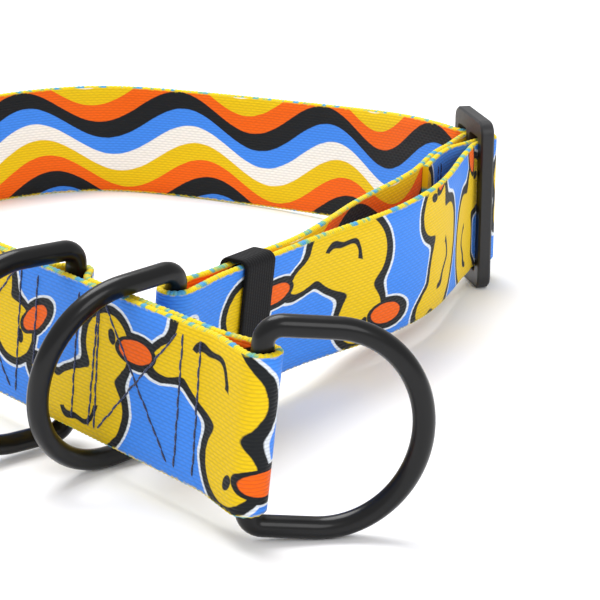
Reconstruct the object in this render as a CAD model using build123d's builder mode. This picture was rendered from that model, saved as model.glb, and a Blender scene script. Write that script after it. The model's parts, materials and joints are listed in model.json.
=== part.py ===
from build123d import *
from math import cos, hypot, radians, sin
import os

os.makedirs("parts", exist_ok=True)

# A limited-slip collar: one long webbing strap closed into a neck band. Its front end, the tongue, slides
# through a D-ring on the adjuster loop. +Z is up, -Y is the front, and the band stands on its lower edge.

# Webbing
webbing_width = 38.0
webbing_thickness = 1.7
layer_gap = 0.1  # between two layers that are sewn together
hinge_gap = 0.7  # between webbing on two bodies that turn against each other
wrap_clearance = 0.5  # round a bar that turns in a webbing loop

# D-rings
ring_wire = 5.0
ring_play = 4.0  # the webbing's freedom along the bar, inside the ring
ring_depth = 36.0  # from the bar's centre to the bow's centre
ring_corner = 3.8  # centreline radius where the bar meets the arms
ring_arm = 15.0  # where the straight arms end and the bow begins

# Triglide slider
slider_plate = 4.0
slider_rail = 5.3  # above and below the slots
slider_bar = 4.0  # width of the centre bar and of both side bars
slot_play = 2.4  # the webbing's freedom along the slots
slot_room = 4.6  # each slot's width beyond the two layers that pass through it

# Elastic keeper
keeper_width = 11.0
keeper_thickness = 1.2
keeper_clearance = 0.45

# Stitching, as raised cords of thread
thread = 0.8
stitch_proud = 0.35
stitch_inset = 3.5  # from the webbing's edge to the nearest stitch

# Heights of the webbing's lower edge
tongue_lift = 7.35
adjuster_lift = 7.75

# Tongue: a straight double layer from the leash ring back to the hinge line on the neck band
leash_bar_x, leash_bar_y = 30.5, -145.0
leash_bar_shift = 0.95  # each ring's bar sits this far above the webbing's middle
tongue_heading = 130.5
tongue_length = 122.0
tongue_fold = 14.0
tongue_lean_x, tongue_lean_y = 0.10, -0.08  # sideways shift of the webbing per unit of height
stop_bar_along = 72.0  # counted from the leash bar
stop_bar_shift = 0.4
end_rows = (17.5, 24.0)
front_cross = (26.5, 53.0)
pocket_rows = (55.5, 63.5, 80.5)
rear_row = 87.5
rear_cross = (90.0, 117.0)

# Neck band: x, y and height of its lower edge, from the tongue round the left and the back to the slider
band_first = (-27.27, 39.23, 3.0)  # x and y counted from the tongue's end
band_route = ((-95, 40, 0.4), (-90, 94, 0.1), (-64, 135, 0.1), (-31, 149, 0.1), (3, 140, 0.1),
              (37, 121, 0.8), (62, 98, 3.0))

# Adjuster loop, from the slide ring to the slider
slide_bar_x, slide_bar_y = 10.0, -97.5
slide_bar_shift = 0.35
adjuster_lean_x, adjuster_lean_y = 0.10, -0.26
adjuster_heading = 54.0
adjuster_fold = 14.0
fold_gap = 2.0  # between the parallel layers under the keeper
keeper_along = 27.0
straight_run = 46.0  # the two layers stay parallel this far from the slide bar
outer_route = ((63, -32), (79, -3))
inner_route = ((54, -23), (72, 9))
flap_length = 24.0
flap_seam = 0.93  # where its stitches are, as a share of the inner layer's curve

# Where the slider stands, and the webbing woven through it
slider_x, slider_y = 92.0, 47.5
slider_heading = 102.0
weave_clearance = 0.45  # between the layer turned round the centre bar and the one crossing it
slider_wrap_heading = 237.0
slider_wrap_length = 16.0

# How each ring points at rest
leash_ring_heading = 6.0
slide_ring_heading = 219.0
stop_ring_heading = 219.5

webbing_half = webbing_width / 2
ring_inner_width = webbing_width + ring_play
slider_slot_height = webbing_width + slot_play
slider_height = slider_slot_height + 2 * slider_rail
slider_slot_width = 2 * webbing_thickness + slot_room
slider_length = 3 * slider_bar + 2 * slider_slot_width
half_layer = (webbing_thickness + layer_gap) / 2
ring_wrap = ring_wire / 2 + wrap_clearance  # inner radius of webbing folded round a ring's bar
ring_wrap_outer = ring_wrap + webbing_thickness
slider_wrap_radius = hypot(slider_bar, slider_plate) / 2 + wrap_clearance / 3


def unit(heading):
    return Vector(cos(radians(heading)), sin(radians(heading)), 0)


def route(points, tangent_start, tangent_end):
    with BuildLine() as line:
        Spline(*points, tangents=(tangent_start, tangent_end))
    return line.edge()


def webbing(curve, lean_start, lean_end, sections=13):
    """Loft one layer along a curve, its width turning from one lean to the other."""
    profiles = []
    for step in range(sections):
        share = step / (sections - 1)
        up = (lean_start * (1 - share) + lean_end * share).normalized()
        across = (curve % share).cross(up).normalized()
        with BuildSketch(Plane(origin=curve @ share, x_dir=across, z_dir=across.cross(up))) as profile:
            Rectangle(webbing_thickness, webbing_width)
        profiles.append(profile.sketch.face())
    loft(profiles)


def wrap_profile(radius, end, half_gap):
    """Webbing folded round a bar at the origin, its two layers closing to the given gap at x = end."""
    outer, half_end = radius + webbing_thickness, half_gap + webbing_thickness
    Circle(outer)
    Polygon((0, outer), (end, half_end), (end, -half_end), (0, -outer), align=None)
    Circle(radius, mode=Mode.SUBTRACT)
    Polygon((0, radius), (end, half_gap), (end, -half_gap), (0, -radius), align=None, mode=Mode.SUBTRACT)


def bar_frame(centre, axis, heading):
    """The plane across a bar, its x axis as near the heading as the bar allows."""
    flat = unit(heading)
    outward = (flat - axis * flat.dot(axis)).normalized()
    return Plane(origin=centre, x_dir=outward, z_dir=axis)


def d_ring(frame):
    """A closed D of round wire: the bar on the frame's z axis, the bow towards its x axis."""
    half = (ring_inner_width + ring_wire) / 2
    with BuildLine(Plane(origin=frame.origin, x_dir=frame.x_dir, z_dir=frame.y_dir)) as centreline:
        bar = Line((0, -half + ring_corner), (0, half - ring_corner))
        corner = JernArc(bar @ 1, bar % 1, ring_corner, -90)
        Line(corner @ 1, (ring_arm, half))
        EllipticalCenterArc((ring_arm, 0), ring_depth - ring_arm, half, start_angle=-90, arc_size=180)
        arm = Line((ring_arm, -half), (ring_corner, -half))
        JernArc(arm @ 1, arm % 1, ring_corner, -90)
    with BuildSketch(frame) as wire:
        Circle(ring_wire / 2)
    sweep(wire.sketch, path=centreline.wire())


def stitching(foot, up, rows, faces):
    """Straight runs of thread on the faces of sewn webbing.

    foot is the plane of the lower edge, its x axis along the webbing. A row is its two ends, each a
    distance along and a height up the webbing. Each face is its place on foot's y axis, and its side.
    """
    for face, side in faces:
        normal = up.cross(foot.x_dir).normalized() * side
        for (start_along, start_up), (end_along, end_up) in rows:
            start = foot.from_local_coords(Vector(start_along, face, 0)) + up * start_up
            end = foot.from_local_coords(Vector(end_along, face, 0)) + up * end_up
            with BuildSketch(Plane(origin=(start + end) / 2, x_dir=end - start, z_dir=normal)) as run:
                Rectangle((end - start).length + thread, thread)
            extrude(run.sketch, amount=stitch_proud)


def across_webbing(along):
    """One row of stitches from edge to edge of the webbing."""
    return ((along, stitch_inset), (along, webbing_width - stitch_inset))


def cross_rows(start, end):
    low, high = stitch_inset, webbing_width - stitch_inset
    return [((start, low), (end, high)), ((start, high), (end, low))]


# Each leaning run of webbing is a plan outline pushed along its own lean.
vertical = Vector(0, 0, 1)
tongue_up = Vector(tongue_lean_x, tongue_lean_y, 1).normalized()
tongue_along = unit(tongue_heading)
tongue_middle = tongue_lift + webbing_half * tongue_up.Z
leash_bar_z = tongue_middle + leash_bar_shift
stop_bar_z = tongue_middle + stop_bar_shift


def tongue_frame(height):
    """Horizontal plane at a height on the tongue: x runs to the neck band, y to the front."""
    lean = tongue_up * ((height - leash_bar_z) / tongue_up.Z)
    return Plane(origin=Vector(leash_bar_x, leash_bar_y, leash_bar_z) + lean, x_dir=tongue_along)


tongue_base = tongue_frame(tongue_lift)

with BuildPart() as tongue_front_layer:
    with BuildSketch(tongue_base):
        with Locations(((tongue_fold + tongue_length) / 2, half_layer)):
            Rectangle(tongue_length - tongue_fold, webbing_thickness)
    extrude(amount=webbing_width, dir=tongue_up)
tongue_front_layer.part.label = "tongue_front_layer"
export_step(tongue_front_layer.part, "parts/tongue_front_layer.step")

# The back layer bulges round the stop ring's bar, which lies against the front layer.
stop_bar_behind = layer_gap / 2 - ring_wrap
with BuildPart() as tongue_back_layer:
    with BuildSketch(tongue_base):
        with Locations(((tongue_fold + tongue_length) / 2, -half_layer)):
            Rectangle(tongue_length - tongue_fold, webbing_thickness)
        with Locations((stop_bar_along, stop_bar_behind)):
            Circle(ring_wrap_outer)
            Circle(ring_wrap, mode=Mode.SUBTRACT)
        with Locations((stop_bar_along, ring_wrap_outer - layer_gap / 2)):
            Rectangle(4 * ring_wrap_outer, 2 * ring_wrap_outer, mode=Mode.SUBTRACT)
    extrude(amount=webbing_width, dir=tongue_up)
tongue_back_layer.part.label = "tongue_back_layer"
export_step(tongue_back_layer.part, "parts/tongue_back_layer.step")

with BuildPart() as leash_ring_fold:
    with BuildSketch(tongue_base):
        wrap_profile(ring_wrap, tongue_fold, layer_gap / 2)
    extrude(amount=webbing_width, dir=tongue_up)
leash_ring_fold.part.label = "leash_ring_fold"
export_step(leash_ring_fold.part, "parts/leash_ring_fold.step")

leash_frame = bar_frame(tongue_frame(leash_bar_z).origin, tongue_up, leash_ring_heading)
with BuildPart() as leash_ring:
    d_ring(leash_frame)
leash_ring.part.label = "leash_ring"
export_step(leash_ring.part, "parts/leash_ring.step")

stop_origin = tongue_frame(stop_bar_z).from_local_coords(Vector(stop_bar_along, stop_bar_behind, 0))
stop_frame = bar_frame(stop_origin, tongue_up, stop_ring_heading)
with BuildPart() as stop_ring:
    d_ring(stop_frame)
stop_ring.part.label = "stop_ring"
export_step(stop_ring.part, "parts/stop_ring.step")

# Adjuster loop: it hangs from the slider and holds the slide ring, leaning forward at that end.
adjuster_up = Vector(adjuster_lean_x, adjuster_lean_y, 1).normalized()
adjuster_along = unit(adjuster_heading)
adjuster_middle = adjuster_lift + webbing_half * adjuster_up.Z
slide_bar_z = adjuster_middle + slide_bar_shift


def adjuster_frame(height):
    """Horizontal plane at a height on the slide bar: x runs to the slider, y away from the front."""
    lean = adjuster_up * ((height - slide_bar_z) / adjuster_up.Z)
    return Plane(origin=Vector(slide_bar_x, slide_bar_y, slide_bar_z) + lean, x_dir=adjuster_along)


adjuster_base = adjuster_frame(adjuster_lift)
adjuster_mid = adjuster_frame(adjuster_middle)
parallel_offset = (fold_gap + webbing_thickness) / 2

with BuildPart() as slide_ring_fold:
    with BuildSketch(adjuster_base):
        wrap_profile(ring_wrap, adjuster_fold, fold_gap / 2)
    extrude(amount=webbing_width, dir=adjuster_up)
slide_ring_fold.part.label = "slide_ring_fold"
export_step(slide_ring_fold.part, "parts/slide_ring_fold.step")

slide_frame = bar_frame(adjuster_frame(slide_bar_z).origin, adjuster_up, slide_ring_heading)
with BuildPart() as slide_ring:
    d_ring(slide_frame)
slide_ring.part.label = "slide_ring"
export_step(slide_ring.part, "parts/slide_ring.step")

# Triglide slider: a plate with two slots, standing on the ground at the right of the band.
slider_frame = Plane(origin=(slider_x, slider_y, slider_height / 2), x_dir=unit(slider_heading))
slot_centre = (slider_slot_width + slider_bar) / 2
slider_face = Plane(origin=slider_frame.origin, x_dir=slider_frame.x_dir, z_dir=slider_frame.y_dir)
with BuildPart() as slider:
    with BuildSketch(slider_face):
        RectangleRounded(slider_length, slider_height, 4.0)
        with Locations((-slot_centre, 0), (slot_centre, 0)):
            RectangleRounded(slider_slot_width, slider_slot_height, 1.0, mode=Mode.SUBTRACT)
    extrude(amount=slider_plate / 2, both=True)
    plate_faces = slider.faces().filter_by(Axis(slider_frame.origin, slider_frame.y_dir))
    chamfer(plate_faces.edges(), 0.5)
slider.part.label = "slider"
export_step(slider.part, "parts/slider.step")

# Neck band: one layer from the tongue to the slider, then woven through the slider's slots.
band_start = tongue_frame(tongue_middle).from_local_coords(Vector(tongue_length + hinge_gap, half_layer, 0))
tongue_end = Vector(leash_bar_x, leash_bar_y) + tongue_length * unit(tongue_heading)
band_near = (tongue_end.X + band_first[0], tongue_end.Y + band_first[1], band_first[2])
band_points = [(x, y, lift + webbing_half) for x, y, lift in (band_near, *band_route)]
inner_face = slider_plate / 2
arch = slider_wrap_radius + 1.5 * webbing_thickness + weave_clearance
weave_plan = ((slider_length / 2 - 0.5, inner_face + 2.0), (slot_centre + 2.9, inner_face + 0.2),
              (slot_centre - 0.4, -inner_face - 1.4), (0, -arch), (0.4 - slot_centre, -inner_face - 1.4),
              (-slot_centre - 2.9, inner_face + 0.2), (-slider_length / 2 - 1.5, inner_face + 4.2))
weave_points = [slider_frame.from_local_coords(Vector(x, y, 0)) for x, y in weave_plan]
entry = (weave_points[1] - weave_points[0]).normalized()
leaving = (weave_points[-1] - weave_points[-2]).normalized()
with BuildPart() as neck_band:
    webbing(route([band_start, *band_points, weave_points[0]], tongue_along, entry), tongue_up, vertical, 25)
neck_band.part.label = "neck_band"
export_step(neck_band.part, "parts/neck_band.step")

with BuildPart() as slider_weave_strap:
    webbing(route(weave_points, entry, leaving), vertical, vertical, 25)
slider_weave_strap.part.label = "slider_weave"
export_step(slider_weave_strap.part, "parts/slider_weave.step")

# The webbing's end turns round the slider's centre bar.
wrap_along = unit(slider_wrap_heading)
slider_wrap_mid = Plane(origin=slider_frame.origin, x_dir=wrap_along)
with BuildPart() as slider_wrap:
    with BuildSketch(slider_wrap_mid.offset(-webbing_half)):
        wrap_profile(slider_wrap_radius, slider_wrap_length, layer_gap / 2)
    extrude(amount=webbing_width)
slider_wrap.part.label = "slider_wrap"
export_step(slider_wrap.part, "parts/slider_wrap.step")

# The adjuster's two layers leave the slide ring side by side, then part as they near the slider.
route_z = (adjuster_mid.origin.Z + slider_frame.origin.Z) / 2
outer_start = adjuster_mid.from_local_coords(Vector(straight_run, -parallel_offset, 0))
outer_end = weave_points[-1] + leaving * hinge_gap * 2
outer_curve = route([outer_start, *[(x, y, route_z) for x, y in outer_route], outer_end],
                    adjuster_along, leaving * -1)
with BuildPart() as adjuster_outer_layer:
    with BuildSketch(adjuster_base):
        with Locations(((adjuster_fold + straight_run) / 2, -parallel_offset)):
            Rectangle(straight_run - adjuster_fold, webbing_thickness)
    extrude(amount=webbing_width, dir=adjuster_up)
    webbing(outer_curve, adjuster_up, vertical)
adjuster_outer_layer.part.label = "adjuster_outer_layer"
export_step(adjuster_outer_layer.part, "parts/adjuster_outer_layer.step")

inner_start = adjuster_mid.from_local_coords(Vector(straight_run, parallel_offset, 0))
inner_end = slider_wrap_mid.from_local_coords(Vector(slider_wrap_length + hinge_gap * 2, -half_layer, 0))
inner_curve = route([inner_start, *[(x, y, route_z) for x, y in inner_route], inner_end],
                    adjuster_along, wrap_along * -1)
with BuildPart() as adjuster_inner_layer:
    with BuildSketch(adjuster_base):
        with Locations(((adjuster_fold + straight_run) / 2, parallel_offset)):
            Rectangle(straight_run - adjuster_fold, webbing_thickness)
    extrude(amount=webbing_width, dir=adjuster_up)
    webbing(inner_curve, adjuster_up, vertical)
adjuster_inner_layer.part.label = "adjuster_inner_layer"
export_step(adjuster_inner_layer.part, "parts/adjuster_inner_layer.step")

# The cut end lies back on the outer side of the inner layer, where it is sewn down.
flap_share = 1 - flap_length / inner_curve.length
flap_points = []
for share in (flap_share, (flap_share + 1) / 2, 1):
    beside = (inner_curve % share).cross(vertical).normalized()
    flap_points.append((inner_curve @ share) + beside * (webbing_thickness + 2 * layer_gap))
flap_lean = (adjuster_up * (1 - flap_share) + vertical * flap_share).normalized()
with BuildPart() as sewn_flap:
    webbing(route(flap_points, inner_curve % flap_share, wrap_along * -1), flap_lean, vertical, 7)
sewn_flap.part.label = "sewn_flap"
export_step(sewn_flap.part, "parts/sewn_flap.step")

flap_up = (adjuster_up * (1 - flap_seam) + vertical * flap_seam).normalized()
flap_foot = Plane(origin=inner_curve @ flap_seam - flap_up * webbing_half, x_dir=inner_curve % flap_seam)
flap_face = 1.5 * webbing_thickness + 3 * layer_gap
with BuildPart() as flap_stitching:
    stitching(flap_foot, flap_up, [across_webbing(-1.5), across_webbing(1.5)],
              ((-flap_face, -1), (webbing_thickness / 2 + layer_gap, 1)))
flap_stitching.part.label = "flap_stitching"
export_step(flap_stitching.part, "parts/flap_stitching.step")

# Elastic keeper: a flat tube round both layers of the adjuster, free to slide along them.
keeper_gap = fold_gap + 2 * webbing_thickness + 2 * keeper_clearance
keeper_low = keeper_clearance + keeper_thickness
keeper_foot = adjuster_frame(adjuster_lift - keeper_low * adjuster_up.Z)
keeper_hollow = adjuster_frame(adjuster_lift - keeper_clearance * adjuster_up.Z)
with BuildPart() as keeper:
    with BuildSketch(keeper_foot):
        with Locations((keeper_along, 0)):
            Rectangle(keeper_width, keeper_gap + 2 * keeper_thickness)
    extrude(amount=webbing_width + 2 * keeper_low, dir=adjuster_up)
    with BuildSketch(keeper_hollow):
        with Locations((keeper_along, 0)):
            Rectangle(2 * keeper_width, keeper_gap)
    extrude(amount=webbing_width + 2 * keeper_clearance, dir=adjuster_up, mode=Mode.SUBTRACT)
keeper.part.label = "keeper"
export_step(keeper.part, "parts/keeper.step")

keeper_face = keeper_gap / 2 + keeper_thickness
keeper_rows = [((keeper_along - 4, 15), (keeper_along + 4, 15)),
               ((keeper_along - 4, 23), (keeper_along + 4, 23))]
with BuildPart() as keeper_stitching:
    stitching(adjuster_base, adjuster_up, keeper_rows, ((keeper_face, 1),))
keeper_stitching.part.label = "keeper_stitching"
export_step(keeper_stitching.part, "parts/keeper_stitching.step")

# Stitching through the tongue's two layers.
front_face = half_layer + webbing_thickness / 2
tongue_faces = ((front_face, 1), (-front_face, -1))
with BuildPart() as end_stitching:
    stitching(tongue_base, tongue_up, [across_webbing(along) for along in end_rows], tongue_faces)
end_stitching.part.label = "end_stitching"
export_step(end_stitching.part, "parts/end_stitching.step")

with BuildPart() as front_cross_stitching:
    stitching(tongue_base, tongue_up, cross_rows(*front_cross), tongue_faces)
front_cross_stitching.part.label = "front_cross_stitching"
export_step(front_cross_stitching.part, "parts/front_cross_stitching.step")

with BuildPart() as pocket_stitching:
    stitching(tongue_base, tongue_up, [across_webbing(along) for along in pocket_rows], tongue_faces)
pocket_stitching.part.label = "pocket_stitching"
export_step(pocket_stitching.part, "parts/pocket_stitching.step")

with BuildPart() as rear_stitching:
    rear_rows = [across_webbing(rear_row), *cross_rows(*rear_cross), across_webbing(rear_cross[1] + 2)]
    stitching(tongue_base, tongue_up, rear_rows, tongue_faces)
rear_stitching.part.label = "rear_stitching"
export_step(rear_stitching.part, "parts/rear_stitching.step")
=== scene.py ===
import json
import math

import bpy
import numpy as np
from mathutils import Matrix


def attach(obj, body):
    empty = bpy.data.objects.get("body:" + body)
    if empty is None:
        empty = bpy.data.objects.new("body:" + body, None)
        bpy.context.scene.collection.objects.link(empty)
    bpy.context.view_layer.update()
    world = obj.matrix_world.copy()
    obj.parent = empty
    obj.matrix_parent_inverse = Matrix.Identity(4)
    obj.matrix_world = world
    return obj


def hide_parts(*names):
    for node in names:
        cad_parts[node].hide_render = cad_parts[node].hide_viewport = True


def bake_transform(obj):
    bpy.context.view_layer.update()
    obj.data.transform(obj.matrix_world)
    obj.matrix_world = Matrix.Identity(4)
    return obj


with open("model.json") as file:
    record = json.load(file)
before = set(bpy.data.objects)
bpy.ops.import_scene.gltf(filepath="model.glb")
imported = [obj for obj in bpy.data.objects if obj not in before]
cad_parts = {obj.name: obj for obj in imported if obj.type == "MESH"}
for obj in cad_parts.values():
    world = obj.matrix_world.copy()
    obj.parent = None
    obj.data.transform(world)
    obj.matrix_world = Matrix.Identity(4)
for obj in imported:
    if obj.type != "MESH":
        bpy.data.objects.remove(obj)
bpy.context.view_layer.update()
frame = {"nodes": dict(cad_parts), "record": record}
swings = {joint["name"]: joint for joint in frame["record"]["behaviour"]["joints"]}
bpy.context.scene.view_settings.view_transform = "Standard"


# The printed strap: one 38 mm polyester webbing, 1.7 mm thick, woven in fine ribs along its length. Ducks are
# printed on its outer face and waves on its inner face. It runs from the tongue's back layer round the leash
# ring, along the front, round the neck and through the slider.
MM = 0.001
strap_width = 38 * MM
strap_thickness = 1.7 * MM
strap_step = 0.8 * MM
selvedge = 0.5 * MM
selvedge_rounding = 0.12 * MM
picot = 0.09 * MM  # how far the edge threads stand in and out
duck_slot, wave_slot, edge_slot = 0, 1, 2
crease = math.radians(50)  # an edge that turns more than this stays sharp

tongue_heading = math.radians(130.5)
tongue_length = 122.3 * MM
cut_back = 0.3 * MM  # the back layer's cut end stops this much short
tongue_bar_rise = 0.95 * MM  # the leash ring's bar over the webbing's middle
ring_fold_radius = 3.85 * MM
fold_run = 14 * MM
layer_side = 0.9 * MM  # each of two sewn layers from the plane between them
pocket_at = 72 * MM  # the stop ring's pocket, which bulges out of the back layer
pocket_reach = 8 * MM
pocket_depth = 5.9 * MM
run_gap = 0.7 * MM  # from the woven run to the adjuster loop

band_knots = ((-76, -13, 22), (-95, 40, 19.4), (-90, 94, 19.1), (-64, 135, 19.1), (-31, 149, 19.1),
              (3, 140, 19.1), (37, 121, 19.8), (62, 98, 22))
slider_centre = np.array((92, 47.5, 25.5)) * MM
slider_heading = math.radians(102)
weave_knots = ((13.5, 4.0), (8.9, 2.2), (5.6, -3.4), (0, -6.0), (-5.6, -3.4), (-8.9, 2.2), (-15.5, 6.2))
upright = np.array((0.0, 0.0, 1.0))


def level(heading):
    """The level direction at a heading."""
    return np.array((math.cos(heading), math.sin(heading), 0.0))


def unit(directions):
    """Directions at a length of one."""
    return directions / np.linalg.norm(directions, axis=-1, keepdims=True)


def travelled(line):
    """How far along the line each of its points is."""
    return np.concatenate([[0], np.cumsum(np.linalg.norm(np.diff(line, axis=0), axis=1))])


def flowing(knots, leaving, arriving, count=60):
    """Points on the smooth line through the knots, with its two end directions given."""
    knots = np.array(knots, float)
    spans = np.linalg.norm(np.diff(knots, axis=0), axis=1)
    many = len(knots)
    pull, load = np.eye(many), np.zeros((many, 3))
    load[0], load[-1] = leaving, arriving
    for k in range(1, many - 1):
        before, after = spans[k - 1], spans[k]
        pull[k, k - 1], pull[k, k], pull[k, k + 1] = 1 / before, 2 / before + 2 / after, 1 / after
        load[k] = 3 * ((knots[k] - knots[k - 1]) / before**2 + (knots[k + 1] - knots[k]) / after**2)
    slopes = np.linalg.solve(pull, load)
    line = []
    for k in range(many - 1):
        for t in np.linspace(0, 1, count, endpoint=k == many - 2):
            line.append((2 * t**3 - 3 * t**2 + 1) * knots[k] + (t**3 - 2 * t**2 + t) * spans[k] * slopes[k]
                        + (3 * t**2 - 2 * t**3) * knots[k + 1] + (t**3 - t**2) * spans[k] * slopes[k + 1])
    return np.array(line)


def round_bar(radius, run, side):
    """Plan of a strap that comes back to a bar, turns round it and leaves on the other side."""
    wrap_angle = 1.45
    turn = [(-radius * math.cos(a), radius * math.sin(a)) for a in np.linspace(-wrap_angle, wrap_angle, 25)]
    return [(run, -side), *turn, (run, side)]


def placed(origin, heading, plan):
    """Plan points, along a heading and to its left, as points in space."""
    along, left = level(heading), level(heading + math.pi / 2)
    return [origin + along * x + left * y for x, y in plan]


def even(line, ups, step=strap_step, easing=3):
    """The line and its width directions, at even steps and with its kinks eased."""
    line, ups = np.array(line, float), np.array(ups, float)
    for _ in range(2):
        far = travelled(line)
        at = np.linspace(0, far[-1], int(round(far[-1] / step)) + 1)
        line = np.array([np.interp(at, far, line[:, k]) for k in range(3)]).T
        ups = np.array([np.interp(at, far, ups[:, k]) for k in range(3)]).T
        for _ in range(easing):
            line[1:-1] = (line[:-2] + 2 * line[1:-1] + line[2:]) / 4
            ups[1:-1] = (ups[:-2] + 2 * ups[1:-1] + ups[2:]) / 4
    return line, unit(ups)


def strap_section():
    """The webbing's cross-section as a loop of (across, outward, material), from the lower edge up."""
    half, thick = strap_width / 2, strap_thickness / 2
    flat, rounding, shoulder = half - selvedge, half - selvedge_rounding, 0.6 * thick
    rows = list(np.linspace(-flat, flat, 11))
    loop = [(w, thick, duck_slot) for w in rows[:-1]] + [(flat, thick, edge_slot)]
    loop += [(rounding, shoulder, edge_slot), (half, 0, edge_slot), (rounding, -shoulder, edge_slot)]
    loop += [(w, -thick, wave_slot) for w in rows[:0:-1]] + [(-flat, -thick, edge_slot)]
    loop += [(-rounding, -shoulder, edge_slot), (-half, 0, edge_slot), (-rounding, shoulder, edge_slot)]
    return loop


def face_outward():
    """Merges the chosen mesh's doubles, closes its open ends and turns its faces outward."""
    bpy.ops.object.mode_set(mode="EDIT")
    bpy.ops.mesh.select_all(action="SELECT")
    bpy.ops.mesh.remove_doubles(threshold=1e-6)
    bpy.ops.mesh.fill_holes(sides=0)
    bpy.ops.mesh.normals_make_consistent(inside=False)
    bpy.ops.object.mode_set(mode="OBJECT")


def lay_strap(name, line, ups, along_start, materials):
    """A closed strap along the line. Its UVs are metres along the whole strap and up from its lower edge."""
    loop = strap_section()
    far = travelled(line)
    outward = unit(np.cross(ups, np.gradient(line, axis=0)))
    rows, columns = len(line) - 1, len(loop)
    bpy.ops.object.select_all(action="DESELECT")
    bpy.ops.mesh.primitive_grid_add(x_subdivisions=rows, y_subdivisions=columns, size=1)
    strap = bpy.context.object
    strap.name = strap.data.name = name
    mesh = strap.data
    place = {}
    for vertex in mesh.vertices:
        row, column = round((vertex.co.x + 0.5) * rows), round((vertex.co.y + 0.5) * columns)
        place[vertex.index] = (row, column)
    for vertex in mesh.vertices:
        row, column = place[vertex.index]
        across, out, part = loop[column % columns]
        if part == edge_slot and abs(across) > strap_width / 2 - selvedge:
            across += math.copysign(picot, across) * (1 if row % 2 else -1)
        vertex.co = line[row] + ups[row] * across + outward[row] * out
    uv = mesh.uv_layers.active or mesh.uv_layers.new(name="UVMap")
    for face in mesh.polygons:
        face.material_index = loop[min(place[v][1] for v in face.vertices)][2]
        for corner in face.loop_indices:
            row, column = place[mesh.loops[corner].vertex_index]
            uv.data[corner].uv = (along_start + far[row], loop[column % columns][0] + strap_width / 2)
    for material in materials:
        mesh.materials.append(material)
    face_outward()
    for face in mesh.polygons:
        if len(face.vertices) > 4:
            face.material_index = edge_slot
    bpy.ops.object.shade_smooth_by_angle(angle=crease)
    return strap, along_start + far[-1]


class Signal:
    """A shader socket that can be used in sums."""

    def __init__(self, recipe, socket):
        self.recipe, self.socket = recipe, socket

    def sum(self, operation, *others, swapped=False):
        terms = (*others, self) if swapped else (self, *others)
        return self.recipe.node("ShaderNodeMath", {"operation": operation}, dict(enumerate(terms)))

    def __add__(self, other):
        return self.sum("ADD", other)

    def __sub__(self, other):
        return self.sum("SUBTRACT", other)

    def __rsub__(self, other):
        return self.sum("SUBTRACT", other, swapped=True)

    def __mul__(self, other):
        return self.sum("MULTIPLY", other)

    def __truediv__(self, other):
        return self.sum("DIVIDE", other)

    def __mod__(self, other):
        return self.sum("FLOORED_MODULO", other)

    __radd__, __rmul__ = __add__, __mul__

    def floor(self):
        return self.sum("FLOOR")

    def sine(self):
        return self.sum("SINE")

    def size(self):
        return self.sum("ABSOLUTE")

    def least(self, other):
        return self.sum("MINIMUM", other)

    def most(self, other):
        return self.sum("MAXIMUM", other)

    def within(self, edge=0.0, soft=0.22):
        """1 where the value is under the edge and 0 over it, with a short soft step."""
        return self.recipe.node("ShaderNodeMath", {"operation": "MULTIPLY_ADD", "use_clamp": True},
                                {0: self, 1: -1 / soft, 2: edge / soft + 0.5})


class Recipe:
    """A material made of nodes, with one Principled shader."""

    def __init__(self, name, **constants):
        self.material = bpy.data.materials.new(name)
        self.material.use_nodes = True
        self.tree = self.material.node_tree
        self.shader = self.tree.nodes["Principled BSDF"]
        for socket, value in constants.items():
            self.shader.inputs[socket.replace("_", " ")].default_value = value

    def join(self, value, socket):
        if isinstance(value, Signal):
            self.tree.links.new(value.socket, socket)
        else:
            socket.default_value = value

    def node(self, kind, settings=None, inputs=None, output=0):
        made = self.tree.nodes.new(kind)
        for setting, value in (settings or {}).items():
            setattr(made, setting, value)
        for socket, value in (inputs or {}).items():
            self.join(value, made.inputs[socket])
        return Signal(self, made.outputs[output])

    def parts(self, vector):
        """A vector's first two numbers."""
        split = self.tree.nodes.new("ShaderNodeSeparateXYZ")
        self.join(vector, split.inputs[0])
        return Signal(self, split.outputs[0]), Signal(self, split.outputs[1])

    def own_places(self):
        """Places on the object, in its own coordinates."""
        return self.node("ShaderNodeTexCoord", output=3)

    def noise(self, places, scale, detail=2.0, roughness=0.5, dimensions="3D"):
        return self.node("ShaderNodeTexNoise", {"noise_dimensions": dimensions},
                         {"Vector": places, "Scale": scale, "Detail": detail, "Roughness": roughness})

    def mix(self, share, first, second):
        return self.node("ShaderNodeMix", {"data_type": "RGBA"}, {0: share, 6: first, 7: second}, output=2)

    def feed(self, socket, value):
        self.join(value, self.shader.inputs[socket])

    def bump(self, height, distance, strength):
        self.feed("Normal", self.node("ShaderNodeBump", None,
                                      {"Strength": strength, "Distance": distance, "Height": height}))


def dye(red, green, blue):
    """A screen colour as a linear one."""
    parts = [c / 255 for c in (red, green, blue)]
    return (*[c / 12.92 if c <= 0.04045 else ((c + 0.055) / 1.055) ** 2.4 for c in parts], 1.0)


sky_blue, duck_yellow, charcoal = dye(62, 136, 236), dye(230, 192, 2), dye(18, 22, 25)
halo_white, beak_orange, cream = dye(222, 228, 234), dye(238, 98, 2), dye(240, 237, 228)


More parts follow.
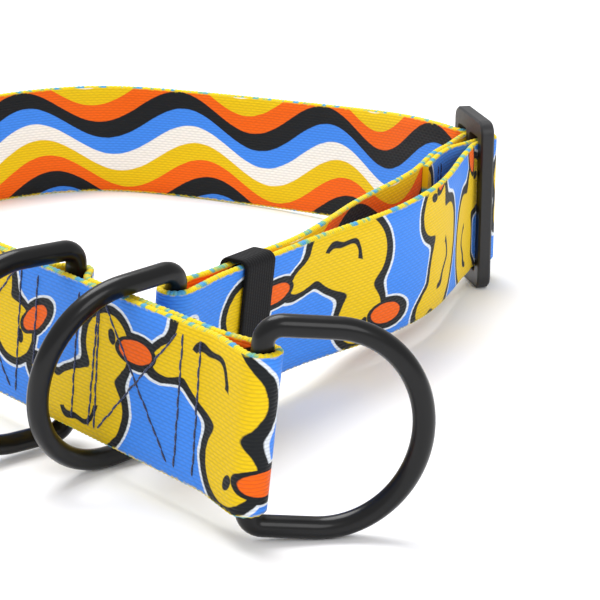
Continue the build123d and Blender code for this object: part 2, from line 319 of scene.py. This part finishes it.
def webbing_recipe(name):
    """The webbing's cloth without its print: its places in millimetres and its ribs."""
    cloth = Recipe(name, Roughness=0.62, Sheen_Weight=0.06, Sheen_Roughness=0.4, Specular_IOR_Level=0.2)
    uv = cloth.node("ShaderNodeUVMap", {"uv_map": "UVMap"})
    along, up = (metres / MM for metres in cloth.parts(uv))
    rib_pitch, float_length = 0.92, 2.3
    ridge = (up * (math.pi / rib_pitch)).sine().size()
    stagger = (up / rib_pitch).floor() * 0.5 + along / float_length
    floats = (stagger * (2 * math.pi)).sine()
    worn = cloth.noise(uv, 260.0, 3.0, 0.6)
    height = ridge * 0.7 + floats * ridge * 0.22 + worn * 0.25
    bleed = worn - 0.5
    return cloth, uv, along, up, height, bleed


def finish_cloth(cloth, print_colour, up, height, uv):
    """Paints shade into the grooves between the ribs, frays the colours at both selvedges and raises the
    ribs.
    """
    half_width, clean_reach, fray_reach = strap_width / MM / 2, 18.35, 1.1
    fray = cloth.noise(uv, 900.0, 1.0, dimensions="2D")
    from_middle = (up - half_width).size()
    edge_mask = (1 - (from_middle + (fray - 0.5) * fray_reach).within(clean_reach, 0.5)) * 0.6
    fringe = cloth.mix((fray - 0.42).within(0, 0.12), dye(226, 200, 24), dye(84, 176, 190))
    coloured = cloth.mix(edge_mask, print_colour, fringe)
    # Painted shade: the colour is darkened where the rib height is low, in the grooves between the ribs.
    shade = height.within(0.35, 0.9) * 0.34
    groove_shaded = cloth.node("ShaderNodeMix", {"data_type": "RGBA", "blend_type": "MULTIPLY"},
                      {0: shade, 6: coloured, 7: dye(120, 120, 130)}, output=2)
    cloth.feed("Base Color", groove_shaded)
    cloth.feed("Roughness", 0.56 + height * 0.14)
    cloth.bump(height, 0.00035, 0.42)
    return cloth.material


def egg(cloth, place, x, y, turn, long, short):
    """Distance outside an ellipse, in the print's millimetres."""
    local = cloth.node("ShaderNodeMapping", {"vector_type": "TEXTURE"},
                       {"Vector": place, "Location": (x, y, 0), "Rotation": (0, 0, math.radians(turn)),
                        "Scale": (long, short, 1)})
    reach = cloth.node("ShaderNodeVectorMath", {"operation": "LENGTH"}, {0: local}, output=1)
    return (reach - 1) * math.sqrt(long * short)


def duck_print():
    """Blue ground with plump toy ducks, each outlined in charcoal with a thin white halo."""
    cloth, uv, along, up, height, bleed = webbing_recipe("duck_webbing")
    repeat, halo_reach, outline_reach, beak_outline = 211.7, 2.75, 2.05, 1.1
    ducks = ((100, 20, -68, -1, 1.08), (147, 23, 200, 1, 1.16), (195, 13, -16, -1, 1.08),
             (238, 24, 158, 1, 1.0), (276, 16, 78, 1, 1.0))
    jag = bleed * 0.9
    bodies = beaks = eyes = ticks = None
    for x, y, turn, facing, size in ducks:
        beside = (along + jag - x).sum("WRAP", repeat / 2, -repeat / 2)
        flat = cloth.node("ShaderNodeCombineXYZ", None, {0: beside, 1: up + jag * 0.6 - y, 2: 0.0})
        place = cloth.node("ShaderNodeMapping", {"vector_type": "TEXTURE"},
                           {"Vector": flat, "Rotation": (0, 0, math.radians(turn)),
                            "Scale": (facing * size, size, 1)})
        trunk = egg(cloth, place, -3, -5.5, 4, 14.5, 9.5)
        head = egg(cloth, place, 8.5, 9.0, 0, 7.6, 7.2)
        tail = egg(cloth, place, -15.5, 0.8, -42, 7.0, 3.4)
        body = trunk.sum("SMOOTH_MIN", head, 6.0).sum("SMOOTH_MIN", tail, 4.0)
        beak = egg(cloth, place, 18.4, 7.4, -14, 5.6, 2.6)
        eye = egg(cloth, place, 10.6, 11.0, 10, 1.2, 1.9)
        wing = egg(cloth, place, -4.0, -3.5, 0, 6.6, 4.4)
        forward, upward = cloth.parts(place)
        scallop = (forward * 0.75).sine() * 0.7
        tick = ((wing + scallop).size() - 0.8).most(upward + 4.4)
        bodies = body if bodies is None else bodies.least(body)
        beaks = beak if beaks is None else beaks.least(beak)
        eyes = eye if eyes is None else eyes.least(eye)
        ticks = tick if ticks is None else ticks.least(tick)
    outline = bodies.least(beaks - 0.2)
    colour = cloth.mix(outline.within(halo_reach), sky_blue, halo_white)
    colour = cloth.mix(outline.within(outline_reach), colour, charcoal)
    colour = cloth.mix(bodies.within(0) * (1 - beaks.within(beak_outline)), colour, duck_yellow)
    colour = cloth.mix(beaks.within(0), colour, beak_orange)
    colour = cloth.mix(eyes.within(0).most(ticks.within(0)), colour, charcoal)
    return finish_cloth(cloth, colour, up, height, uv)


def wave_print():
    """Five colours in waves that run along the strap."""
    cloth, uv, along, up, height, bleed = webbing_recipe("wave_webbing")
    wave_length, wave_rise, band, first_crest, slant, top = 58.4, 6.05, 5.85, 22.6, 0.44, 37.3
    middle = up
    for _ in range(3):
        crest = along - first_crest + middle * slant
        middle = up - (crest * (2 * math.pi / wave_length) + math.pi / 2).sine() * wave_rise
    colour, others = beak_orange, (charcoal, sky_blue, cream, duck_yellow)
    place = (top - middle + bleed * 0.35) / band % (1.0 + len(others))
    for start, tint in enumerate(others, 1):
        colour = cloth.mix((start - place).within(0, 0.04), colour, tint)
    return finish_cloth(cloth, colour, up, height, uv)


def selvedge_threads():
    """The edge's loose threads, where both prints' inks meet."""
    cloth, uv, along, *_ = webbing_recipe("selvedge_threads")
    pick_pitch = 0.8
    fray = cloth.noise(uv, 240.0, 3.0, dimensions="2D")
    colour = cloth.mix((fray - 0.46).within(0, 0.08), dye(226, 196, 14), dye(120, 176, 120))
    colour = cloth.mix((fray - 0.38).within(0, 0.08), colour, dye(70, 150, 200))
    cloth.feed("Base Color", colour)
    picks = (along * (math.pi / pick_pitch)).sine().size()
    cloth.bump(picks * 0.7 + fray * 0.3, 0.0004, 0.6)
    return cloth.material


strap_faces = [duck_print(), wave_print(), selvedge_threads()]

leash_bar = np.array(swings["leash_ring_swing"]["pos_m"])
tongue_up = np.array(swings["leash_ring_swing"]["axis"])
tongue_origin = leash_bar - tongue_up * (tongue_bar_rise / tongue_up[2])
pocket = [(pocket_at + t, -layer_side - pocket_depth * (0.5 + 0.5 * math.cos(math.pi * t / pocket_reach)))
          for t in np.linspace(pocket_reach, -pocket_reach, 25)]
tongue_plan = [(tongue_length - cut_back, -layer_side), *pocket,
               *round_bar(ring_fold_radius, fold_run, layer_side), (tongue_length, layer_side)]
tongue_line = placed(tongue_origin, tongue_heading, tongue_plan)

weave_line = placed(slider_centre, slider_heading, [(x * MM, y * MM) for x, y in weave_knots])
into_slider, out_of_slider = unit(weave_line[1] - weave_line[0]), unit(weave_line[-1] - weave_line[-2])
band_line = flowing([tongue_line[-1], *[np.array(knot) * MM for knot in band_knots], weave_line[0]],
                    level(tongue_heading), into_slider)
band_turn = np.linspace(0, 1, len(band_line))[:, None]
band_ups = tongue_up * (1 - band_turn) + upright * band_turn
through_slider = flowing(weave_line, into_slider, out_of_slider, 20)
strap_joint = through_slider[-1] + out_of_slider * run_gap

long_line = np.concatenate([tongue_line[:-1], band_line[:-1], through_slider, [strap_joint]])
long_ups = np.concatenate([[tongue_up] * (len(tongue_line) - 1), band_ups[:-1],
                           [upright] * (len(through_slider) + 1)])
long_strap, print_reached = lay_strap("long_strap", *even(long_line, long_ups), 0.0, strap_faces)
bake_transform(long_strap)
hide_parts("tongue_back_layer", "leash_ring_fold", "tongue_front_layer", "neck_band",
            "slider_weave")


# The adjuster loop, which is the same strap after the slider. It runs out to the slide ring, turns round its
# bar, comes back inside, and its cut end is turned round the slider's centre bar and sewn to the inner layer.
adjuster_heading = math.radians(54)
adjuster_bar_rise = 0.35 * MM
straight_run = 46 * MM
parallel_side = 1.85 * MM
outer_knots, inner_knots = ((63, -32), (79, -3)), ((54, -23), (72, 9))
wrap_heading = math.radians(237)
wrap_radius = 3.85 * MM
wrap_run = 16 * MM
wrap_gap = 1.4 * MM
flap_length = 24 * MM
flap_side = 1.9 * MM

slide_bar = np.array(swings["slide_ring_swing"]["pos_m"])
adjuster_up = np.array(swings["slide_ring_swing"]["axis"])
adjuster_origin = slide_bar - adjuster_up * (adjuster_bar_rise / adjuster_up[2])
route_height = (adjuster_origin[2] + slider_centre[2]) / 2


def adjuster_side(side, knots, end, arriving):
    """One layer, from where it leaves its neighbour's side to the slider, with its width directions."""
    start = placed(adjuster_origin, adjuster_heading, [(straight_run, side)])[0]
    through = [np.array((x * MM, y * MM, route_height)) for x, y in knots]
    line = flowing([start, *through, end], level(adjuster_heading), arriving)
    turn = np.linspace(0, 1, len(line))[:, None]
    return line, adjuster_up * (1 - turn) + upright * turn


outer_line, outer_ups = adjuster_side(-parallel_side, outer_knots, strap_joint, -out_of_slider)
wrap_line = placed(slider_centre, wrap_heading, round_bar(wrap_radius, wrap_run, layer_side))
inner_end = placed(slider_centre, wrap_heading, [(wrap_run + wrap_gap, -layer_side)])[0]
inner_line, inner_ups = adjuster_side(parallel_side, inner_knots, inner_end, -level(wrap_heading))
turn_line = placed(adjuster_origin, adjuster_heading, round_bar(ring_fold_radius, fold_run, parallel_side))

inner_far = np.linalg.norm(np.diff(inner_line, axis=0), axis=1)[::-1].cumsum()[::-1]
under_flap = [k for k in range(len(inner_far) - 1, 0, -1) if inner_far[k] < flap_length]
inner_ahead = np.gradient(inner_line, axis=0)
flap_line = inner_line[under_flap] + unit(np.cross(inner_ahead[under_flap], upright)) * flap_side

loop_line = np.concatenate([outer_line[::-1], turn_line, inner_line, wrap_line, flap_line])
loop_ups = np.concatenate([outer_ups[::-1], [adjuster_up] * len(turn_line), inner_ups,
                           [upright] * len(wrap_line), inner_ups[under_flap]])
adjuster_strap, _ = lay_strap("adjuster_strap", *even(loop_line, loop_ups), print_reached, strap_faces)
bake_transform(adjuster_strap)
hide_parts("adjuster_outer_layer", "slide_ring_fold", "adjuster_inner_layer", "slider_wrap",
            "sewn_flap")


# Three D-rings of 5 mm steel wire, bent, welded shut and painted black. Each turns on its bar in a fold of
# the strap: one for the leash at the tongue's end, one sewn into the tongue, and one on the adjuster loop.
wire_radius = 2.5 * MM
ring_half = 23.5 * MM
ring_depth = 36 * MM
ring_arm = 15 * MM
ring_corner = 3.8 * MM

ring_paint = Recipe("black_ring_paint", Coat_Weight=0.16, Coat_Roughness=0.06, Specular_IOR_Level=0.2)
ring_places = ring_paint.own_places()
flow = ring_paint.noise(ring_places, 140.0, 4.0)
scuffs = ring_paint.noise(ring_places, 420.0, 6.0, 0.7)
ring_paint.feed("Roughness", 0.24 + flow * 0.12)
ring_paint.feed("Base Color", ring_paint.mix((0.68 - scuffs).within(0, 0.06) * 0.3, dye(12, 12, 13),
                                             dye(40, 40, 42)))
ring_paint.bump(flow, 0.0003, 0.12)


def outline_sides(outline):
    """The direction out of a closed flat outline at each of its points."""
    ahead = unit(np.roll(outline, -1, axis=0) - np.roll(outline, 1, axis=0))
    return np.stack([ahead[:, 1], -ahead[:, 0]], axis=1)


def ring_outline():
    """The D's centreline, as (out from the bar, along the bar) all the way round."""
    low, outline = ring_half - ring_corner, []
    outline += [(0, y) for y in np.linspace(-low, low, 13)[:-1]]
    outline += [(ring_corner * (1 - math.cos(a)), low + ring_corner * math.sin(a))
                for a in np.linspace(0, math.pi / 2, 9)[:-1]]
    outline += [(x, ring_half) for x in np.linspace(ring_corner, ring_arm, 5)[:-1]]
    outline += [(ring_arm + (ring_depth - ring_arm) * math.sin(a), ring_half * math.cos(a))
                for a in np.linspace(0, math.pi, 57)[:-1]]
    outline += [(x, -ring_half) for x in np.linspace(ring_arm, ring_corner, 5)[:-1]]
    outline += [(ring_corner * (1 - math.sin(a)), -low - ring_corner * math.cos(a))
                for a in np.linspace(0, math.pi / 2, 9)[:-1]]
    return np.array(outline)


def bend_ring(name, joint, heading, body):
    """A ring of round wire on its joint's axis, its bow towards a heading."""
    origin, axis = np.array(swings[joint]["pos_m"]), np.array(swings[joint]["axis"])
    out = level(math.radians(heading))
    out = unit(out - axis * out.dot(axis))
    side = np.cross(axis, out)
    outline = ring_outline()
    rights, wire = outline_sides(outline), 20
    bpy.ops.object.select_all(action="DESELECT")
    bpy.ops.mesh.primitive_torus_add(major_segments=len(outline), minor_segments=wire, major_radius=1,
                                     minor_radius=0.25, generate_uvs=False)
    ring = bpy.context.object
    ring.name = ring.data.name = name
    for vertex in ring.data.vertices:
        k, step = divmod(vertex.index, wire)
        turn = 2 * math.pi * step / wire
        x, y = outline[k] + rights[k] * wire_radius * math.cos(turn)
        vertex.co = origin + out * x + axis * y + side * wire_radius * math.sin(turn)
    ring.data.materials.append(ring_paint.material)
    face_outward()
    bpy.ops.object.shade_smooth()
    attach(ring, body)
    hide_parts(body)


bend_ring("leash_d_ring", "leash_ring_swing", 6, "leash_ring")
bend_ring("stop_d_ring", "stop_ring_swing", 219.5, "stop_ring")
bend_ring("slide_d_ring", "slide_ring_swing", 219, "slide_ring")


# The triglide slider: a die-cast plate with two slots and a centre bar, painted satin black.
# The strap goes over its centre bar, and the strap's end is turned round that bar.
slider_paint = Recipe("satin_slider_paint", Base_Color=dye(22, 22, 24), Specular_IOR_Level=0.45)
cast = slider_paint.noise(slider_paint.own_places(), 900.0, 4.0, 0.6)
slider_paint.feed("Roughness", 0.36 + cast * 0.16)
slider_paint.feed("Base Color", slider_paint.mix(cast, dye(16, 16, 18), dye(30, 30, 33)))
slider_paint.bump(cast, 0.0002, 0.2)
slider_plate = frame["nodes"]["slider"]
slider_plate.data.materials.clear()
slider_plate.data.materials.append(slider_paint.material)


# The keeper: a flat tube of black knitted elastic, 11 mm wide, round both layers of the adjuster loop.
# Its ends are overlapped and sewn on the inner side, and it can be pushed along the loop.
keeper_at = 27 * MM
keeper_width = 11 * MM
keeper_thickness = 1.2 * MM
keeper_half_gap = 3.75 * MM
keeper_half_height = 20.05 * MM
keeper_round = 2.1 * MM
last_step = 0.5 * MM

elastic = Recipe("knitted_elastic", Sheen_Weight=0.03, Sheen_Roughness=0.5, Specular_IOR_Level=0.15)
round_loop, across_loop = (metres / MM for metres in elastic.parts(
    elastic.node("ShaderNodeUVMap", {"uv_map": "UVMap"})))
wale_pitch, course_pitch, wale_shift = 0.93, 0.9, 1.57
wale = (across_loop * (math.pi / wale_pitch)).sine().size()
wale_start = (across_loop / wale_pitch).floor() * wale_shift
course = (round_loop * (math.pi / course_pitch) + wale_start).sine().size()
knit = wale * 0.5 + wale * course * 0.5
# Painted highlight and painted shade: the elastic's colour is lighter on the knit's raised loops and darker
# in its hollows.
elastic.feed("Base Color", elastic.mix(knit, dye(12, 12, 13), dye(25, 25, 27)))
elastic.feed("Roughness", 0.85 - knit * 0.1)
elastic.bump(knit, 0.0003, 0.22)


def keeper_outline():
    """The keeper's middle line round the two layers, as (side, height)."""
    wide, high = keeper_half_gap - keeper_round, keeper_half_height - keeper_round
    outline = []
    for cx, cy, start in ((wide, high, 0), (-wide, high, 1), (-wide, -high, 2), (wide, -high, 3)):
        for a in np.linspace(start, start + 1, 7) * math.pi / 2:
            outline.append((cx + keeper_round * math.cos(a), cy + keeper_round * math.sin(a)))
        if start in (0, 2):
            outline += [(cx * t, cy + math.copysign(keeper_round, cy)) for t in (0.4, -0.4)]
        else:
            outline += [(cx + math.copysign(keeper_round, cx), cy * t) for t in np.linspace(0.9, -0.9, 19)]
    return np.array(outline)


outline = keeper_outline()
band_section = [(-0.5, -0.32), (-0.5, 0.32), (-0.47, 0.5), *[(t, 0.5) for t in np.linspace(-0.4, 0.4, 9)],
                (0.47, 0.5), (0.5, 0.32), (0.5, -0.32), (0.47, -0.5),
                *[(t, -0.5) for t in np.linspace(0.4, -0.4, 9)], (-0.47, -0.5)]
loop_far, loop_sides = travelled(outline), outline_sides(outline)
bpy.ops.object.select_all(action="DESELECT")
bpy.ops.mesh.primitive_torus_add(major_segments=len(outline), minor_segments=len(band_section),
                                 major_radius=1, minor_radius=0.25, generate_uvs=True)
keeper_band = bpy.context.object
keeper_band.name = keeper_band.data.name = "keeper_band"
sides = level(adjuster_heading + math.pi / 2)
for vertex in keeper_band.data.vertices:
    k, j = divmod(vertex.index, len(band_section))
    across, thick = band_section[j]
    side, height = outline[k] + loop_sides[k] * thick * keeper_thickness
    centre = adjuster_origin + level(adjuster_heading) * (keeper_at + across * keeper_width)
    vertex.co = centre + sides * side + adjuster_up * height
keeper_uv = keeper_band.data.uv_layers.active
keeper_uv.name = "UVMap"
for face in keeper_band.data.polygons:
    rows = [keeper_band.data.loops[c].vertex_index // len(band_section) for c in face.loop_indices]
    for corner, k in zip(face.loop_indices, rows):
        j = keeper_band.data.loops[corner].vertex_index % len(band_section)
        far = loop_far[-1] + last_step if k == 0 and max(rows) > 1 else loop_far[k]
        keeper_uv.data[corner].uv = (far, (band_section[j][0] + 0.5) * keeper_width)
keeper_band.data.materials.append(elastic.material)
face_outward()
bpy.ops.object.shade_smooth_by_angle(angle=crease)
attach(keeper_band, "keeper")
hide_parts("keeper")


# The stitching: navy polyester thread through both layers of the tongue, and through the flap.
# Each stitch is a short twisted strand that dips into the webbing at both its ends.
stitch_length = 3.5 * MM
stitch_pitch = 2.9 * MM
stitch_thick = 0.6 * MM
stitch_dip = 0.22 * MM
stitch_wander = 0.12 * MM
stitch_proud = 0.06 * MM
outer_face = layer_side + strap_thickness / 2 + stitch_proud

navy = Recipe("navy_thread", Roughness=0.55, Sheen_Weight=0.3, Sheen_Roughness=0.4)
twist = navy.node("ShaderNodeTexWave", {"bands_direction": "DIAGONAL"},
                  {"Vector": navy.own_places(), "Scale": 900.0, "Distortion": 0.6})
# Painted highlight and painted shade: the thread's colour is lighter on the twist's ridges and darker in its
# grooves.
navy.feed("Base Color", navy.mix(twist, dye(20, 28, 56), dye(40, 54, 96)))
navy.bump(twist, 0.0002, 0.5)

bpy.ops.object.select_all(action="DESELECT")
bpy.ops.mesh.primitive_uv_sphere_add(segments=8, ring_count=7, radius=0.5)
one_stitch = bpy.context.object
one_stitch.name = "one_stitch"
bpy.ops.object.mode_set(mode="EDIT")
bpy.ops.mesh.select_all(action="SELECT")
bpy.ops.transform.resize(value=(stitch_thick, stitch_thick, stitch_length))
bpy.ops.object.mode_set(mode="OBJECT")
for vertex in one_stitch.data.vertices:
    share = 2 * vertex.co.z / stitch_length
    vertex.co.y -= stitch_dip * share**4
bpy.ops.object.shade_smooth()


def sew(name, node, body, runs):
    """One piece of stitching. A run is its start, its end and the direction out of the webbing's face."""
    stitches = []
    for start, end, out in runs:
        count = max(1, round(np.linalg.norm(end - start) / stitch_pitch))
        ahead = unit(end - start)
        beside = np.cross(out, ahead)
        for k in range(count):
            wander = stitch_wander * math.sin(2.4 * k + 40 * start[0] + 90 * start[2])
            centre = start + (end - start) * (k + 0.5) / count + beside * wander
            stitch = one_stitch.copy()
            stitch.data = one_stitch.data.copy()
            bpy.context.collection.objects.link(stitch)
            for vertex in stitch.data.vertices:
                x, y, z = vertex.co
                vertex.co = centre + beside * x + out * y + ahead * z
            stitches.append(stitch)
    bpy.ops.object.select_all(action="DESELECT")
    for stitch in stitches:
        stitch.select_set(True)
    bpy.context.view_layer.objects.active = stitches[0]
    bpy.ops.object.join()
    seam = bpy.context.object
    seam.name = seam.data.name = name
    seam.data.materials.append(navy.material)
    face_outward()
    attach(seam, body)
    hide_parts(node)


def tongue_runs(lines):
    """Runs on both of the tongue's faces. A line is (along, up) to (along, up) in millimetres."""
    runs, side = [], level(tongue_heading + math.pi / 2)
    normal = unit(np.cross(tongue_up, level(tongue_heading)))
    for face in (1, -1):
        middle = tongue_origin - tongue_up * strap_width / 2 + side * face * outer_face
        for ends in lines:
            spots = [middle + (level(tongue_heading) * along + tongue_up * up) * MM for along, up in ends]
            runs.append((*spots, normal * face))
    return runs


def straight(along, lean=0.0):
    """A row across the webbing, from near one edge to near the other."""
    return ((along - lean, 3.0), (along + lean, 35.0))


sew("end_seams", "end_stitching", "tongue", tongue_runs([straight(17.5, 0.5), straight(24.0, 0.3)]))
sew("front_cross_seams", "front_cross_stitching", "tongue",
    tongue_runs([((26.5, 3.5), (53, 34.5)), ((26.5, 34.5), (53, 3.5))]))
sew("pocket_seams", "pocket_stitching", "tongue",
    tongue_runs([straight(54.8, 0.5), straight(56.2, -0.5), straight(63.5), straight(80.5)]))
sew("rear_seams", "rear_stitching", "tongue",
    tongue_runs([straight(87.5), ((90, 3.5), (117, 34.5)), ((90, 34.5), (117, 3.5)), straight(119)]))

flap_seam_at, flap_row_half, flap_row_shift = 10 * MM, 16 * MM, 1.5 * MM
flap_spot = next(k for k in under_flap if inner_far[k] > flap_seam_at)
flap_ahead, flap_up = unit(inner_ahead[flap_spot]), inner_ups[flap_spot]
flap_out = unit(np.cross(flap_ahead, upright))
flap_runs = []
for shift in (-flap_row_shift, flap_row_shift):
    for out, reach in ((flap_out, flap_side + strap_thickness / 2), (-flap_out, strap_thickness / 2)):
        foot = inner_line[flap_spot] + flap_ahead * shift + out * (reach + stitch_proud)
        flap_runs.append((foot - flap_up * flap_row_half, foot + flap_up * flap_row_half, out))
sew("flap_seams", "flap_stitching", "adjuster", flap_runs)

keeper_row_half, keeper_row_height = 4 * MM, 4 * MM
keeper_runs = []
for height in (-keeper_row_height, keeper_row_height):
    foot = adjuster_origin + sides * (keeper_half_gap + keeper_thickness / 2) + adjuster_up * height
    keeper_runs.append((foot + level(adjuster_heading) * (keeper_at - keeper_row_half),
                        foot + level(adjuster_heading) * (keeper_at + keeper_row_half), sides))
sew("keeper_seams", "keeper_stitching", "keeper", keeper_runs)
bpy.data.objects.remove(one_stitch)


# A pale table top under the collar, with a large soft light overhead, a weaker one from the front,
# and the camera low in front of the leash ring.
floor_white = Recipe("table_top", Base_Color=(0.93, 0.93, 0.94, 1), Specular_IOR_Level=0.2)
grain = floor_white.noise(floor_white.own_places(), 60.0)
floor_white.feed("Roughness", 0.6 + grain * 0.1)
bpy.ops.object.select_all(action="DESELECT")
bpy.ops.mesh.primitive_plane_add(size=12, location=(0, 0, -0.00005))
floor = bpy.context.object
floor.name = "table_top"
floor.data.materials.append(floor_white.material)


def soft_light(name, place, size, watts):
    """A round soft light aimed at the middle of the collar."""
    lamp = bpy.data.lights.new(name, "AREA")
    lamp.shape, lamp.size, lamp.energy = "DISK", size, watts
    holder = bpy.data.objects.new(name, lamp)
    bpy.context.collection.objects.link(holder)
    holder.location = place
    aim = -unit(np.array(place))
    holder.rotation_euler = (math.acos(-aim[2]), 0, math.atan2(aim[1], aim[0]) - math.pi / 2)


soft_light("overhead", (-0.25, 0.35, 1.1), 0.9, 15)
soft_light("front", (0.5, -1.1, 0.8), 0.8, 6)
world = bpy.data.worlds.new("studio")
bpy.context.scene.world = world
world.use_nodes = True
background = world.node_tree.nodes["Background"]
background.inputs["Color"].default_value = (1, 1, 1, 1)
background.inputs["Strength"].default_value = 0.75

camera = bpy.data.objects.new("camera", bpy.data.cameras.new("camera"))
bpy.context.collection.objects.link(camera)
camera.location = (0.040, -0.5355, 0.182)
camera.rotation_euler = (math.radians(72), 0, 0)
camera.data.lens, camera.data.sensor_width = 120, 36
bpy.context.scene.camera = camera
